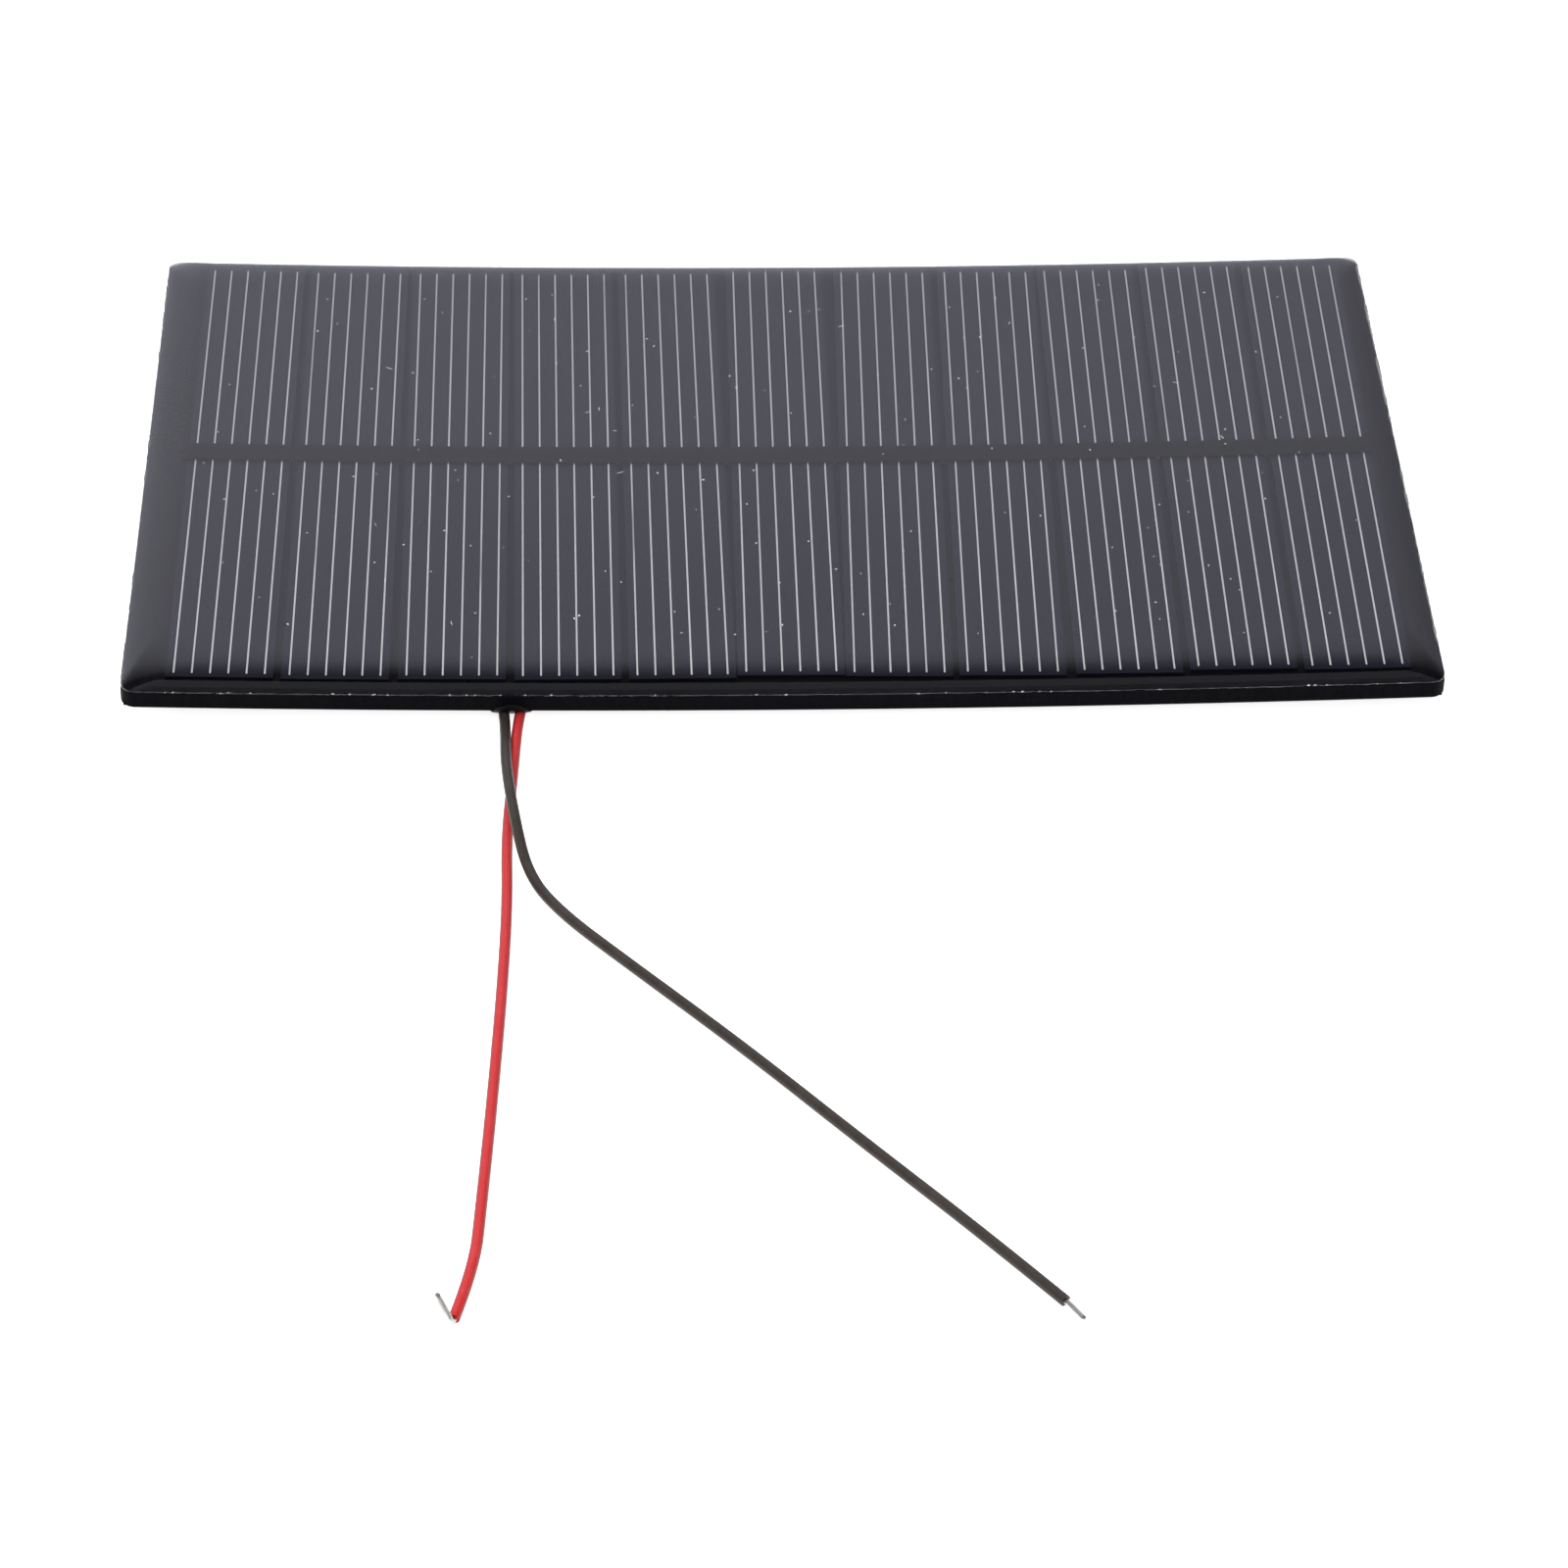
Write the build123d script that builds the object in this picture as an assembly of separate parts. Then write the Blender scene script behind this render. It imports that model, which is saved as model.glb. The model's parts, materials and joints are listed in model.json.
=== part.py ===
"""Mini solar panel: eleven cell strips in series on a black circuit board, potted in clear resin.

Millimetres, +Z up, the lit face up. X runs along the panel, and -Y is the edge that the two
leads leave by. The origin is on the surface that the panel lies on, under the panel's centre.

The potting resin shrinks as it cures and pulls the ends of the panel up. Each layer is set out
flat, with x along the board and z above the board's back face, and then bent onto that bow.
"""
from build123d import *
import math
import os

# Panel
PANEL_LENGTH = 110.0
PANEL_DEPTH = 60.0
BOARD_THICKNESS = 1.6
RESIN_THICKNESS = 1.1  # above the board's front face
SAG = 0.9  # height of the two ends above the middle
STAND_OFF = 1.0  # air under the middle of the board
CORNER_RADIUS = 1.2
RESIN_EDGE_RADIUS = 0.85
BOW_RADIUS = ((PANEL_LENGTH / 2) ** 2 + SAG ** 2) / (2 * SAG)
FACET = 5.0  # the layers bend in flats of this length, all at the same places
LENGTH_TOLERANCE = 0.01

# Cell strips, left to right. They are laid by hand, so each one is a little off line.
CELL_PITCH = 9.5
CELL_WIDTH = 8.9
CELL_LENGTH = 57.0
CELL_THICKNESS = 0.2
STRING_CENTRE_X = 0.6
CELL_TILTS = (0.0, 0.1, 0.4, 0.7, 0.7, -0.2, -1.2, -1.3, -0.8, -0.7, -0.7)  # degrees
CELL_SHIFTS = (0.15, 0.05, 0.15, 0.15, 0.25, 0.6, 0.35, 0.25, 0.25, 0.45, 0.15)  # along Y

# Silver printed on each strip
FINGERS_PER_CELL = 6
FINGER_PITCH = 1.5
FINGER_WIDTH = 0.14
FINGER_LENGTH = 56.1
GRID_THICKNESS = 0.03
BUSBAR_Y = 1.3
BUSBAR_WIDTH = 1.6
BUSBAR_LENGTH = 8.3

# Layers above the board, and the copper and lacquer on its back
FILM_THICKNESS = 0.2
SEAT_GAP = 0.01  # a flat strip on a bowed film
TRACK_THICKNESS = 0.07
LACQUER_THICKNESS = 0.03
FILM_LEFT, FILM_RIGHT, FILM_DEPTH = -52.4, 53.4, 58.8
CELL_CLEARANCE = 0.01

# Flat ribbon that joins the strips
RIBBON_WIDTH = 1.4
RIBBON_THICKNESS = 0.12
RIBBON_LAP = 3.6  # length under a strip
RIBBON_FOOT = 2.0  # length folded onto the copper on the back
COVER_WIDTH = 2.2
COVER_THICKNESS = 0.06
COVER_END_LEFT = 0.5  # past the first strip, over the fold of the ribbon
COVER_END_RIGHT = 0.1
SLOT_WIDTH = 0.5
SLOT_LENGTH = 1.9
NEGATIVE_SLOT_GAP = 0.3  # from the middle of the slot to the first strip
POSITIVE_SLOT_SHIFT = 1.9  # from the middle of the last strip, which covers the slot

# Cutters
CUT_LOW, CUT_HIGH = -4.0, 8.0  # right through the panel
OVERCUT = 0.05  # past the face that a pocket opens onto

# Copper on the back
TRACK_WIDTH = 2.0
PAD_LENGTH, PAD_DEPTH = 3.4, 3.2
LANDING_LENGTH, LANDING_DEPTH = 3.6, 3.0
NEGATIVE_PAD = (-25.3, -23.9)
POSITIVE_PAD = (-20.4, -23.9)
TRACK_RUN_Y = -21.5
TRACK_CORNER = 6.0
LANDING_BEHIND = 1.0  # copper on the far side of a slot's middle
LACQUER_MARGIN = 0.25
SOLDER_RADIUS = 1.3
SOLDER_REACH = 3.0  # half the width and the depth of the space that a mound is cut from
SLOT_SOLDER_RADIUS = 1.2
SLOT_SOLDER_HEIGHT = 0.4
SLOT_SOLDER_SHIFT = 0.3  # past the middle of the ribbon's foot

# Leads
SHEATH_DIAMETER = 0.9
SHEATH_BORE = 0.5
CORE_DIAMETER = 0.46
TIP_DIAMETER = 0.5  # the bare end is dipped in solder
CORE_IN_JOINT = 1.7  # bare core between the end of the sheath and the middle of the joint
LEAD_REST = SHEATH_DIAMETER / 2
HUMP = LEAD_REST + 2 * SHEATH_DIAMETER  # the upper lead clears the lower one by a diameter
NEGATIVE_ROUTE = (
    (-24.7, -25.7, 0.62),
    (-23.7, -28.3, 0.58),
    (-23.38, -31.5, 0.55),
    (-23.2, -37.6, HUMP),
    (-22.38, -43.6, HUMP),
    (-21.2, -49.0, LEAD_REST),
    (-18.5, -53.4, LEAD_REST),
    (-13.4, -58.9, LEAD_REST),
    (-4.6, -68.2, LEAD_REST),
    (4.7, -78.8, LEAD_REST),
    (12.8, -87.8, LEAD_REST),
    (18.3, -94.3, LEAD_REST),
)
POSITIVE_ROUTE = (
    (-20.9, -25.7, 0.62),
    (-21.7, -28.3, 0.54),
    (-22.38, -31.5, LEAD_REST),
    (-22.55, -37.0, LEAD_REST),
    (-23.0, -44.5, LEAD_REST),
    (-22.8, -52.5, LEAD_REST),
    (-23.1, -62.5, LEAD_REST),
    (-23.7, -74.5, LEAD_REST),
    (-24.3, -84.5, LEAD_REST),
    (-24.7, -90.4, LEAD_REST),
    (-26.07, -95.25, LEAD_REST),
)
RUN_SHARE = 0.45  # of the shorter run beside a corner, which its arc takes up
NEGATIVE_TIP_KNEE = 0.3  # straight core before the bare end is bent
NEGATIVE_TIP_LENGTH = 1.9
NEGATIVE_TIP_DIRECTION = Vector(0.56, -0.83, 0.0)
POSITIVE_TIP_KNEE = 0.7
POSITIVE_TIP_LENGTH = 2.6
POSITIVE_TIP_DIRECTION = Vector(-0.42, 0.40, 0.81)
TIP_BEND_RADIUS = 0.4

# Glue that holds the leads at the edge of the board
DAB_CENTRE = (-22.75, -29.2, 1.1)
DAB_RADII = (1.95, 1.05, 1.1)
DAB_CLEARANCE = 0.02

# Heights above the board's back face
FILM_TOP = BOARD_THICKNESS + FILM_THICKNESS
CELL_BOTTOM = FILM_TOP + SEAT_GAP
CELL_TOP = CELL_BOTTOM + CELL_THICKNESS
GRID_TOP = CELL_TOP + GRID_THICKNESS
RIBBON_BOTTOM = GRID_TOP + SEAT_GAP / 2
RIBBON_TOP = RIBBON_BOTTOM + RIBBON_THICKNESS
COVER_BOTTOM = RIBBON_TOP + SEAT_GAP / 2
COVER_TOP = COVER_BOTTOM + COVER_THICKNESS
PANEL_TOP = BOARD_THICKNESS + RESIN_THICKNESS

CELL_COUNT = len(CELL_TILTS)
CELL_CENTRES = [
    STRING_CENTRE_X + (index - (CELL_COUNT - 1) / 2) * CELL_PITCH for index in range(CELL_COUNT)
]
GAP_CENTRES = [(a + b) / 2 for a, b in zip(CELL_CENTRES, CELL_CENTRES[1:])]
NEGATIVE_SLOT_X = CELL_CENTRES[0] - CELL_WIDTH / 2 - NEGATIVE_SLOT_GAP
POSITIVE_SLOT_X = CELL_CENTRES[-1] + POSITIVE_SLOT_SHIFT
COVER_LEFT = CELL_CENTRES[0] - CELL_WIDTH / 2 - COVER_END_LEFT
COVER_RIGHT = CELL_CENTRES[-1] + CELL_WIDTH / 2 + COVER_END_RIGHT


def on_arc(x, z):
    """The place, in the XZ plane, of a point at x and z in the flat layers, on the true bow."""
    angle = x / BOW_RADIUS
    radius = BOW_RADIUS - z
    return Vector(radius * math.sin(angle), STAND_OFF + BOW_RADIUS - radius * math.cos(angle))


def bowed(x, z):
    """The same on the short flats that the layers are made of."""
    step = math.floor(x / FACET)
    left = on_arc(step * FACET, z)
    right = on_arc((step + 1) * FACET, z)
    return left + (right - left) * (x / FACET - step)


def along_y(face, front, back):
    """A face drawn in x and z, made solid from y = front to y = back."""
    return extrude(Plane.XZ.offset(-back) * face, back - front)


def bowed_slab(left, right, front, back, low, high):
    """A layer from z = low to z = high that follows the bow in short flats."""
    first = math.floor(left / FACET) + 1
    last = math.ceil(right / FACET) - 1
    stations = [left] + [step * FACET for step in range(first, last + 1)] + [right]
    outline = [bowed(x, low) for x in stations] + [bowed(x, high) for x in reversed(stations)]
    return along_y(make_face(Polyline(outline, close=True)), front, back)


def smooth_slab(left, right, front, back, low, high):
    """A layer on true arcs."""
    middle = (left + right) / 2
    lower = ThreePointArc(on_arc(left, low), on_arc(middle, low), on_arc(right, low))
    upper = ThreePointArc(on_arc(left, high), on_arc(middle, high), on_arc(right, high))
    ends = Line(lower @ 0, upper @ 0) + Line(lower @ 1, upper @ 1)
    return along_y(make_face(lower + upper + ends), front, back)


def centred_slab(length, depth, low, high):
    """A layer over the middle of the panel."""
    return bowed_slab(-length / 2, length / 2, -depth / 2, depth / 2, low, high)


def bowed_strip(points, centre_y, width):
    """A flat ribbon of one width, from its outline in x and z."""
    outline = Polyline([bowed(x, z) for x, z in points], close=True)
    return along_y(make_face(outline), centre_y - width / 2, centre_y + width / 2)


def on_cell(index, z):
    """The location of a strip's own centre at a height in the layers."""
    centre = bowed(CELL_CENTRES[index], z)
    lean = -math.degrees(CELL_CENTRES[index] / BOW_RADIUS)
    place = Location((centre.X, CELL_SHIFTS[index], centre.Y), (0, lean, 0))
    return place * Rotation(0, 0, CELL_TILTS[index])


def upright_box(x, y, length, depth):
    """A box that cuts through the layers at x and y."""
    return Pos(x, y, (CUT_LOW + CUT_HIGH) / 2) * Box(length, depth, CUT_HIGH - CUT_LOW)


def round_corners(slab, thickness):
    """The slab with its four upright corners rounded."""
    corners = slab.edges().filter_by(lambda edge: abs(edge.length - thickness) < LENGTH_TOLERANCE)
    return fillet(corners, CORNER_RADIUS)


def slot_cutter(x):
    """The slot that a ribbon goes through to reach the back of the board."""
    return upright_box(x, BUSBAR_Y, SLOT_WIDTH, SLOT_LENGTH)


def pad_cutter(pad, margin=0.0):
    """A pad's outline, or the smaller window in the lacquer over it."""
    length = PAD_LENGTH - 2 * margin
    depth = PAD_DEPTH - 2 * margin
    return upright_box(pad[0], pad[1], length, depth)


def landing_cutter(slot_x, side, margin=0.0):
    """The copper beside a slot, on its inner side (side is +1 or -1 along X)."""
    centre = slot_x + side * (LANDING_LENGTH / 2 - LANDING_BEHIND)
    length = LANDING_LENGTH - 2 * margin
    depth = LANDING_DEPTH - 2 * margin
    return upright_box(centre, BUSBAR_Y, length, depth)


def track_outline(slot_x, side, pad):
    """Landing, track and pad as one prism through the board."""
    start = (slot_x + side * TRACK_WIDTH / 2, BUSBAR_Y)
    corner_x = start[0] + side * TRACK_CORNER
    route = Polyline(
        start,
        (start[0], TRACK_RUN_Y + TRACK_CORNER),
        (corner_x, TRACK_RUN_Y),
        (pad[0], TRACK_RUN_Y),
        (pad[0], pad[1]),
    )
    track = Pos(0, 0, CUT_LOW) * extrude(trace(route, TRACK_WIDTH), CUT_HIGH - CUT_LOW)
    return track + landing_cutter(slot_x, side) + pad_cutter(pad)


def make_track(slot_x, side, pad):
    """Copper let into the back of the board."""
    layer = centred_slab(PANEL_LENGTH, PANEL_DEPTH, 0.0, TRACK_THICKNESS)
    return (track_outline(slot_x, side, pad) & layer) - slot_cutter(slot_x)


def make_board(tracks):
    """The black board, with room for its copper and a slot for each end ribbon."""
    slab = centred_slab(PANEL_LENGTH, PANEL_DEPTH, 0.0, BOARD_THICKNESS)
    board = round_corners(slab, BOARD_THICKNESS)
    for track in tracks:
        board -= track
    return board - slot_cutter(NEGATIVE_SLOT_X) - slot_cutter(POSITIVE_SLOT_X)


def make_lacquer():
    """Black lacquer on the back, open over the pads and the ribbon landings."""
    edge = 2 * LACQUER_MARGIN
    lacquer = centred_slab(PANEL_LENGTH - edge, PANEL_DEPTH - edge, -LACQUER_THICKNESS, 0.0)
    lacquer -= pad_cutter(NEGATIVE_PAD, LACQUER_MARGIN) + pad_cutter(POSITIVE_PAD, LACQUER_MARGIN)
    lacquer -= landing_cutter(NEGATIVE_SLOT_X, 1, LACQUER_MARGIN)
    return lacquer - landing_cutter(POSITIVE_SLOT_X, -1, LACQUER_MARGIN)


def make_film():
    """The bonding film under the strips, with a channel where the ribbons press into it."""
    depth = FILM_DEPTH / 2
    film = bowed_slab(FILM_LEFT, FILM_RIGHT, -depth, depth, BOARD_THICKNESS, FILM_TOP)
    front = BUSBAR_Y - RIBBON_WIDTH / 2 - CELL_CLEARANCE
    back = BUSBAR_Y + RIBBON_WIDTH / 2 + CELL_CLEARANCE
    right = POSITIVE_SLOT_X + SLOT_WIDTH
    channel_floor = FILM_TOP - RIBBON_THICKNESS - CELL_CLEARANCE
    film -= bowed_slab(CELL_CENTRES[0], right, front, back, channel_floor, FILM_TOP + OVERCUT)
    return film - slot_cutter(NEGATIVE_SLOT_X) - slot_cutter(POSITIVE_SLOT_X)


def make_cell(index):
    """One silicon strip."""
    middle = (CELL_BOTTOM + CELL_TOP) / 2
    return on_cell(index, middle) * Box(CELL_WIDTH, CELL_LENGTH, CELL_THICKNESS)


def make_grid(index):
    """The silver fingers of one strip and the busbar across them."""
    place = on_cell(index, (CELL_TOP + GRID_TOP) / 2)
    busbar_y = BUSBAR_Y - CELL_SHIFTS[index]
    grid = Pos(0, busbar_y, 0) * Box(BUSBAR_LENGTH, BUSBAR_WIDTH, GRID_THICKNESS)
    for finger in range(FINGERS_PER_CELL):
        x = (finger - (FINGERS_PER_CELL - 1) / 2) * FINGER_PITCH
        grid += Pos(x, 0, 0) * Box(FINGER_WIDTH, FINGER_LENGTH, GRID_THICKNESS)
    return place * grid


def make_link(gap, next_cell):
    """A ribbon from the back of one strip, up through the gap, to the busbar of the next."""
    half = RIBBON_THICKNESS / 2
    low_top = FILM_TOP
    low_bottom = FILM_TOP - RIBBON_THICKNESS
    far_end = next_cell + BUSBAR_LENGTH / 2
    outline = (
        (gap - RIBBON_LAP, low_bottom),
        (gap + half, low_bottom),
        (gap + half, RIBBON_BOTTOM),
        (far_end, RIBBON_BOTTOM),
        (far_end, RIBBON_TOP),
        (gap - half, RIBBON_TOP),
        (gap - half, low_top),
        (gap - RIBBON_LAP, low_top),
    )
    return bowed_strip(outline, BUSBAR_Y, RIBBON_WIDTH)


def make_end_ribbon(slot_x, inner_end, low, high, side):
    """A ribbon from a strip at the end of the string, down its slot and onto the copper."""
    half = RIBBON_THICKNESS / 2
    foot_end = slot_x + side * RIBBON_FOOT
    inner = slot_x + side * half
    outer = slot_x - side * half
    outline = (
        (inner_end, low),
        (inner_end, high),
        (outer, high),
        (outer, -RIBBON_THICKNESS),
        (foot_end, -RIBBON_THICKNESS),
        (foot_end, 0.0),
        (inner, 0.0),
        (inner, low),
    )
    return bowed_strip(outline, BUSBAR_Y, RIBBON_WIDTH)


def make_cover():
    """The black strip that hides the ribbons."""
    front = BUSBAR_Y - COVER_WIDTH / 2
    back = BUSBAR_Y + COVER_WIDTH / 2
    return bowed_slab(COVER_LEFT, COVER_RIGHT, front, back, COVER_BOTTOM, COVER_TOP)


def make_resin():
    """The clear potting, cast over the strips with a rounded rim."""
    half_length = PANEL_LENGTH / 2
    half_depth = PANEL_DEPTH / 2
    half_film = FILM_DEPTH / 2
    base = BOARD_THICKNESS - CELL_CLEARANCE  # cut back to the board's flats below
    resin = smooth_slab(-half_length, half_length, -half_depth, half_depth, base, PANEL_TOP)
    resin = round_corners(resin, PANEL_TOP - base)
    top = resin.faces().sort_by(SortBy.AREA)[-2:].sort_by(Axis.Z)[-1]
    resin = fillet(top.edges(), RESIN_EDGE_RADIUS)
    margin = 2 * CORNER_RADIUS
    resin -= centred_slab(PANEL_LENGTH + margin, PANEL_DEPTH + margin, 0.0, BOARD_THICKNESS)
    resin -= bowed_slab(FILM_LEFT, FILM_RIGHT, -half_film, half_film, 0.0, FILM_TOP)
    low = FILM_TOP - OVERCUT
    high = GRID_TOP + SEAT_GAP / 2
    length = CELL_WIDTH + 2 * CELL_CLEARANCE
    depth = CELL_LENGTH + 2 * CELL_CLEARANCE
    for index in range(CELL_COUNT):
        resin -= on_cell(index, (low + high) / 2) * Box(length, depth, high - low)
    left = COVER_LEFT - CELL_CLEARANCE
    right = COVER_RIGHT + CELL_CLEARANCE
    front = BUSBAR_Y - COVER_WIDTH / 2 - CELL_CLEARANCE
    back = BUSBAR_Y + COVER_WIDTH / 2 + CELL_CLEARANCE
    return resin - bowed_slab(left, right, front, back, low, COVER_TOP + CELL_CLEARANCE)


def space_below(x, y):
    """The space under the board around a solder mound."""
    return bowed_slab(
        x - SOLDER_REACH, x + SOLDER_REACH, y - SOLDER_REACH, y + SOLDER_REACH, -SOLDER_REACH, 0.0
    )


def make_solder_joint(pad, core):
    """The solder that holds a lead on its pad; its top rests on the surface below."""
    height = bowed(pad[0], 0.0).Y
    radius = (SOLDER_RADIUS ** 2 + height ** 2) / (2 * height)
    mound = (Pos(pad[0], pad[1], radius) * Sphere(radius)) & space_below(pad[0], pad[1])
    return mound - core


def make_slot_solder(slot_x, side, ribbon):
    """The solder over the end of a ribbon, on its landing."""
    centre_x = slot_x + side * (RIBBON_FOOT / 2 + SLOT_SOLDER_SHIFT)
    radius = (SLOT_SOLDER_RADIUS ** 2 + SLOT_SOLDER_HEIGHT ** 2) / (2 * SLOT_SOLDER_HEIGHT)
    centre = bowed(centre_x, radius - SLOT_SOLDER_HEIGHT)
    mound = (Pos(centre.X, BUSBAR_Y, centre.Y) * Sphere(radius)) & space_below(centre_x, BUSBAR_Y)
    return mound - ribbon - slot_cutter(slot_x)


def bend_radii(route):
    """The largest arcs that the runs on each side of each corner allow."""
    radii = []
    for before, corner, after in zip(route, route[1:], route[2:]):
        incoming = Vector(corner) - Vector(before)
        outgoing = Vector(after) - Vector(corner)
        turn = math.radians(incoming.get_angle(outgoing))
        shorter = min(incoming.length, outgoing.length)
        radii.append(RUN_SHARE * shorter / math.tan(turn / 2))
    return radii


def report_lead(name, route, sheath):
    """Print a lead's arcs, and its volume beside its section times its length."""
    radii = bend_radii(route)
    length = FilletPolyline(*route, radius=radii).length
    section = math.pi * (SHEATH_DIAMETER ** 2 - SHEATH_BORE ** 2) / 4
    print(name, "radii", [round(radius, 1) for radius in radii], "length", round(length, 1))
    print(name, "volume", round(sheath.volume, 3), "section x length", round(section * length, 3))


def swept(path, diameter, bore=0.0):
    """A round section, hollow if it has a bore, along a path."""
    section = Circle(diameter / 2)
    if bore:
        section -= Circle(bore / 2)
    return sweep(Plane(origin=path @ 0, z_dir=path % 0) * section, path=path)


def make_sheath(route):
    """The plastic sheath of a lead, as one tube."""
    path = FilletPolyline(*route, radius=bend_radii(route))
    return swept(path, SHEATH_DIAMETER, SHEATH_BORE)


def make_core(route, tip):
    """The tinned core of a lead, from its solder joint to its bare tip."""
    path = FilletPolyline(*route, radius=bend_radii(route))
    start = path @ 0
    inner_end = start - (path % 0) * CORE_IN_JOINT
    core = swept(path, CORE_DIAMETER)
    return swept(Line(inner_end, start), CORE_DIAMETER) + core + swept(tip, TIP_DIAMETER)


def bent_tip(route, knee_distance, tip_direction, tip_length):
    """The path of a bare tip: straight on to its knee, then on in a new direction."""
    end = Vector(route[-1])
    direction = (end - Vector(route[-2])).normalized()
    knee = end + direction * knee_distance
    tip = knee + tip_direction.normalized() * tip_length
    return FilletPolyline(end, knee, tip, radius=TIP_BEND_RADIUS)


def make_dab(board, lacquer):
    """The glue under the edge of the board, with the two leads running through it."""
    dab = Pos(*DAB_CENTRE) * scale(Sphere(1.0), by=DAB_RADII)
    dab = dab - board - lacquer
    for route in (NEGATIVE_ROUTE, POSITIVE_ROUTE):
        path = FilletPolyline(*route[:5], radius=bend_radii(route[:5]))
        dab -= swept(path, SHEATH_DIAMETER + 2 * DAB_CLEARANCE)
    return dab


def make_parts():
    """Every piece of the panel, by name."""
    negative_track = make_track(NEGATIVE_SLOT_X, 1, NEGATIVE_PAD)
    positive_track = make_track(POSITIVE_SLOT_X, -1, POSITIVE_PAD)
    parts = {
        "backing_board": make_board((negative_track, positive_track)),
        "rear_track_negative": negative_track,
        "rear_track_positive": positive_track,
        "rear_lacquer": make_lacquer(),
        "bonding_film": make_film(),
        "busbar_cover_strip": make_cover(),
        "clear_potting": make_resin(),
    }
    for index in range(CELL_COUNT):
        parts[f"cell_{index + 1:02}"] = make_cell(index)
        parts[f"front_grid_{index + 1:02}"] = make_grid(index)
    for index, gap in enumerate(GAP_CENTRES):
        parts[f"link_ribbon_{index + 1:02}"] = make_link(gap, CELL_CENTRES[index + 1])
    negative_ribbon = make_end_ribbon(
        NEGATIVE_SLOT_X, CELL_CENTRES[0] + BUSBAR_LENGTH / 2, RIBBON_BOTTOM, RIBBON_TOP, 1
    )
    positive_ribbon = make_end_ribbon(
        POSITIVE_SLOT_X, CELL_CENTRES[-1] - RIBBON_LAP, FILM_TOP - RIBBON_THICKNESS, FILM_TOP, -1
    )
    parts["end_ribbon_negative"] = negative_ribbon
    parts["end_ribbon_positive"] = positive_ribbon
    parts["slot_solder_negative"] = make_slot_solder(NEGATIVE_SLOT_X, 1, negative_ribbon)
    parts["slot_solder_positive"] = make_slot_solder(POSITIVE_SLOT_X, -1, positive_ribbon)
    parts["black_lead_sheath"] = make_sheath(NEGATIVE_ROUTE)
    negative_tip = bent_tip(
        NEGATIVE_ROUTE, NEGATIVE_TIP_KNEE, NEGATIVE_TIP_DIRECTION, NEGATIVE_TIP_LENGTH
    )
    positive_tip = bent_tip(
        POSITIVE_ROUTE, POSITIVE_TIP_KNEE, POSITIVE_TIP_DIRECTION, POSITIVE_TIP_LENGTH
    )
    parts["black_lead_core"] = make_core(NEGATIVE_ROUTE, negative_tip)
    parts["red_lead_sheath"] = make_sheath(POSITIVE_ROUTE)
    parts["red_lead_core"] = make_core(POSITIVE_ROUTE, positive_tip)
    parts["solder_joint_negative"] = make_solder_joint(NEGATIVE_PAD, parts["black_lead_core"])
    parts["solder_joint_positive"] = make_solder_joint(POSITIVE_PAD, parts["red_lead_core"])
    parts["lead_glue_dab"] = make_dab(parts["backing_board"], parts["rear_lacquer"])
    return parts


os.makedirs("parts", exist_ok=True)
all_parts = make_parts()
for name, solid in all_parts.items():
    export_step(solid, f"parts/{name}.step")
report_lead("black lead", NEGATIVE_ROUTE, all_parts["black_lead_sheath"])
report_lead("red lead", POSITIVE_ROUTE, all_parts["red_lead_sheath"])
print(len(all_parts), "parts")
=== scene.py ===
"""A potted mini solar panel with two leads: its looks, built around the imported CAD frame.

Metres, +Z up. X runs along the panel, and -Y is the edge that the two leads leave by. Sizes that
are clearer in millimetres are written as a number times MM.
"""
import json
import math
import random

import bmesh
import bpy
from mathutils import Matrix, Vector, noise


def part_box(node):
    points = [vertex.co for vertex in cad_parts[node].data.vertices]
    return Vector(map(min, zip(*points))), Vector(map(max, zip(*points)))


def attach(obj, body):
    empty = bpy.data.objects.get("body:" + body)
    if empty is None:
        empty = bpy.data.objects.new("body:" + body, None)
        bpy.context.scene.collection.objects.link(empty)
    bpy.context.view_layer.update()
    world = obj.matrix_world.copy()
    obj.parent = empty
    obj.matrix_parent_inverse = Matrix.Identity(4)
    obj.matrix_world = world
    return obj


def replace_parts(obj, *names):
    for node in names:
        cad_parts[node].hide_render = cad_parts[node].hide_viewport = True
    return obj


MM = 0.001

# Camera: where it looks, from how far, and how it is turned
CAMERA_AIM = (-0.4 * MM, -38.0 * MM, 0.0)
CAMERA_DISTANCE = 365.8 * MM
CAMERA_LENS = 102.6
CAMERA_YAW = 2.75
CAMERA_PITCH = 42.52
CAMERA_ROLL = 1.38

# The panel. The bow lifts its ends by SAG.
BOARD_THICKNESS = 1.6 * MM
RESIN_THICKNESS = 1.1 * MM
SAG = 0.9 * MM
STAND_OFF = 1.0 * MM
CORNER_RADIUS = 1.2 * MM

# Leads: the routes of part.py, moved by up to 0.2 mm near the board. A bare tip bends at its knee.
SHEATH_DIAMETER = 0.9 * MM
LEAD_REST = SHEATH_DIAMETER / 2
HUMP = LEAD_REST + 2 * SHEATH_DIAMETER
BLACK_ROUTE = (
    (-24.7 * MM, -25.7 * MM, 0.62 * MM),
    (-23.5 * MM, -28.3 * MM, 0.58 * MM),
    (-23.24 * MM, -31.5 * MM, 0.55 * MM),
    (-23.12 * MM, -37.6 * MM, HUMP),
    (-22.38 * MM, -43.6 * MM, HUMP),
    (-21.2 * MM, -49.0 * MM, LEAD_REST),
    (-18.5 * MM, -53.4 * MM, LEAD_REST),
    (-13.4 * MM, -58.9 * MM, LEAD_REST),
    (-4.6 * MM, -68.2 * MM, LEAD_REST),
    (4.7 * MM, -78.8 * MM, LEAD_REST),
    (12.8 * MM, -87.8 * MM, LEAD_REST),
    (18.3 * MM, -94.3 * MM, LEAD_REST),
)
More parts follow.
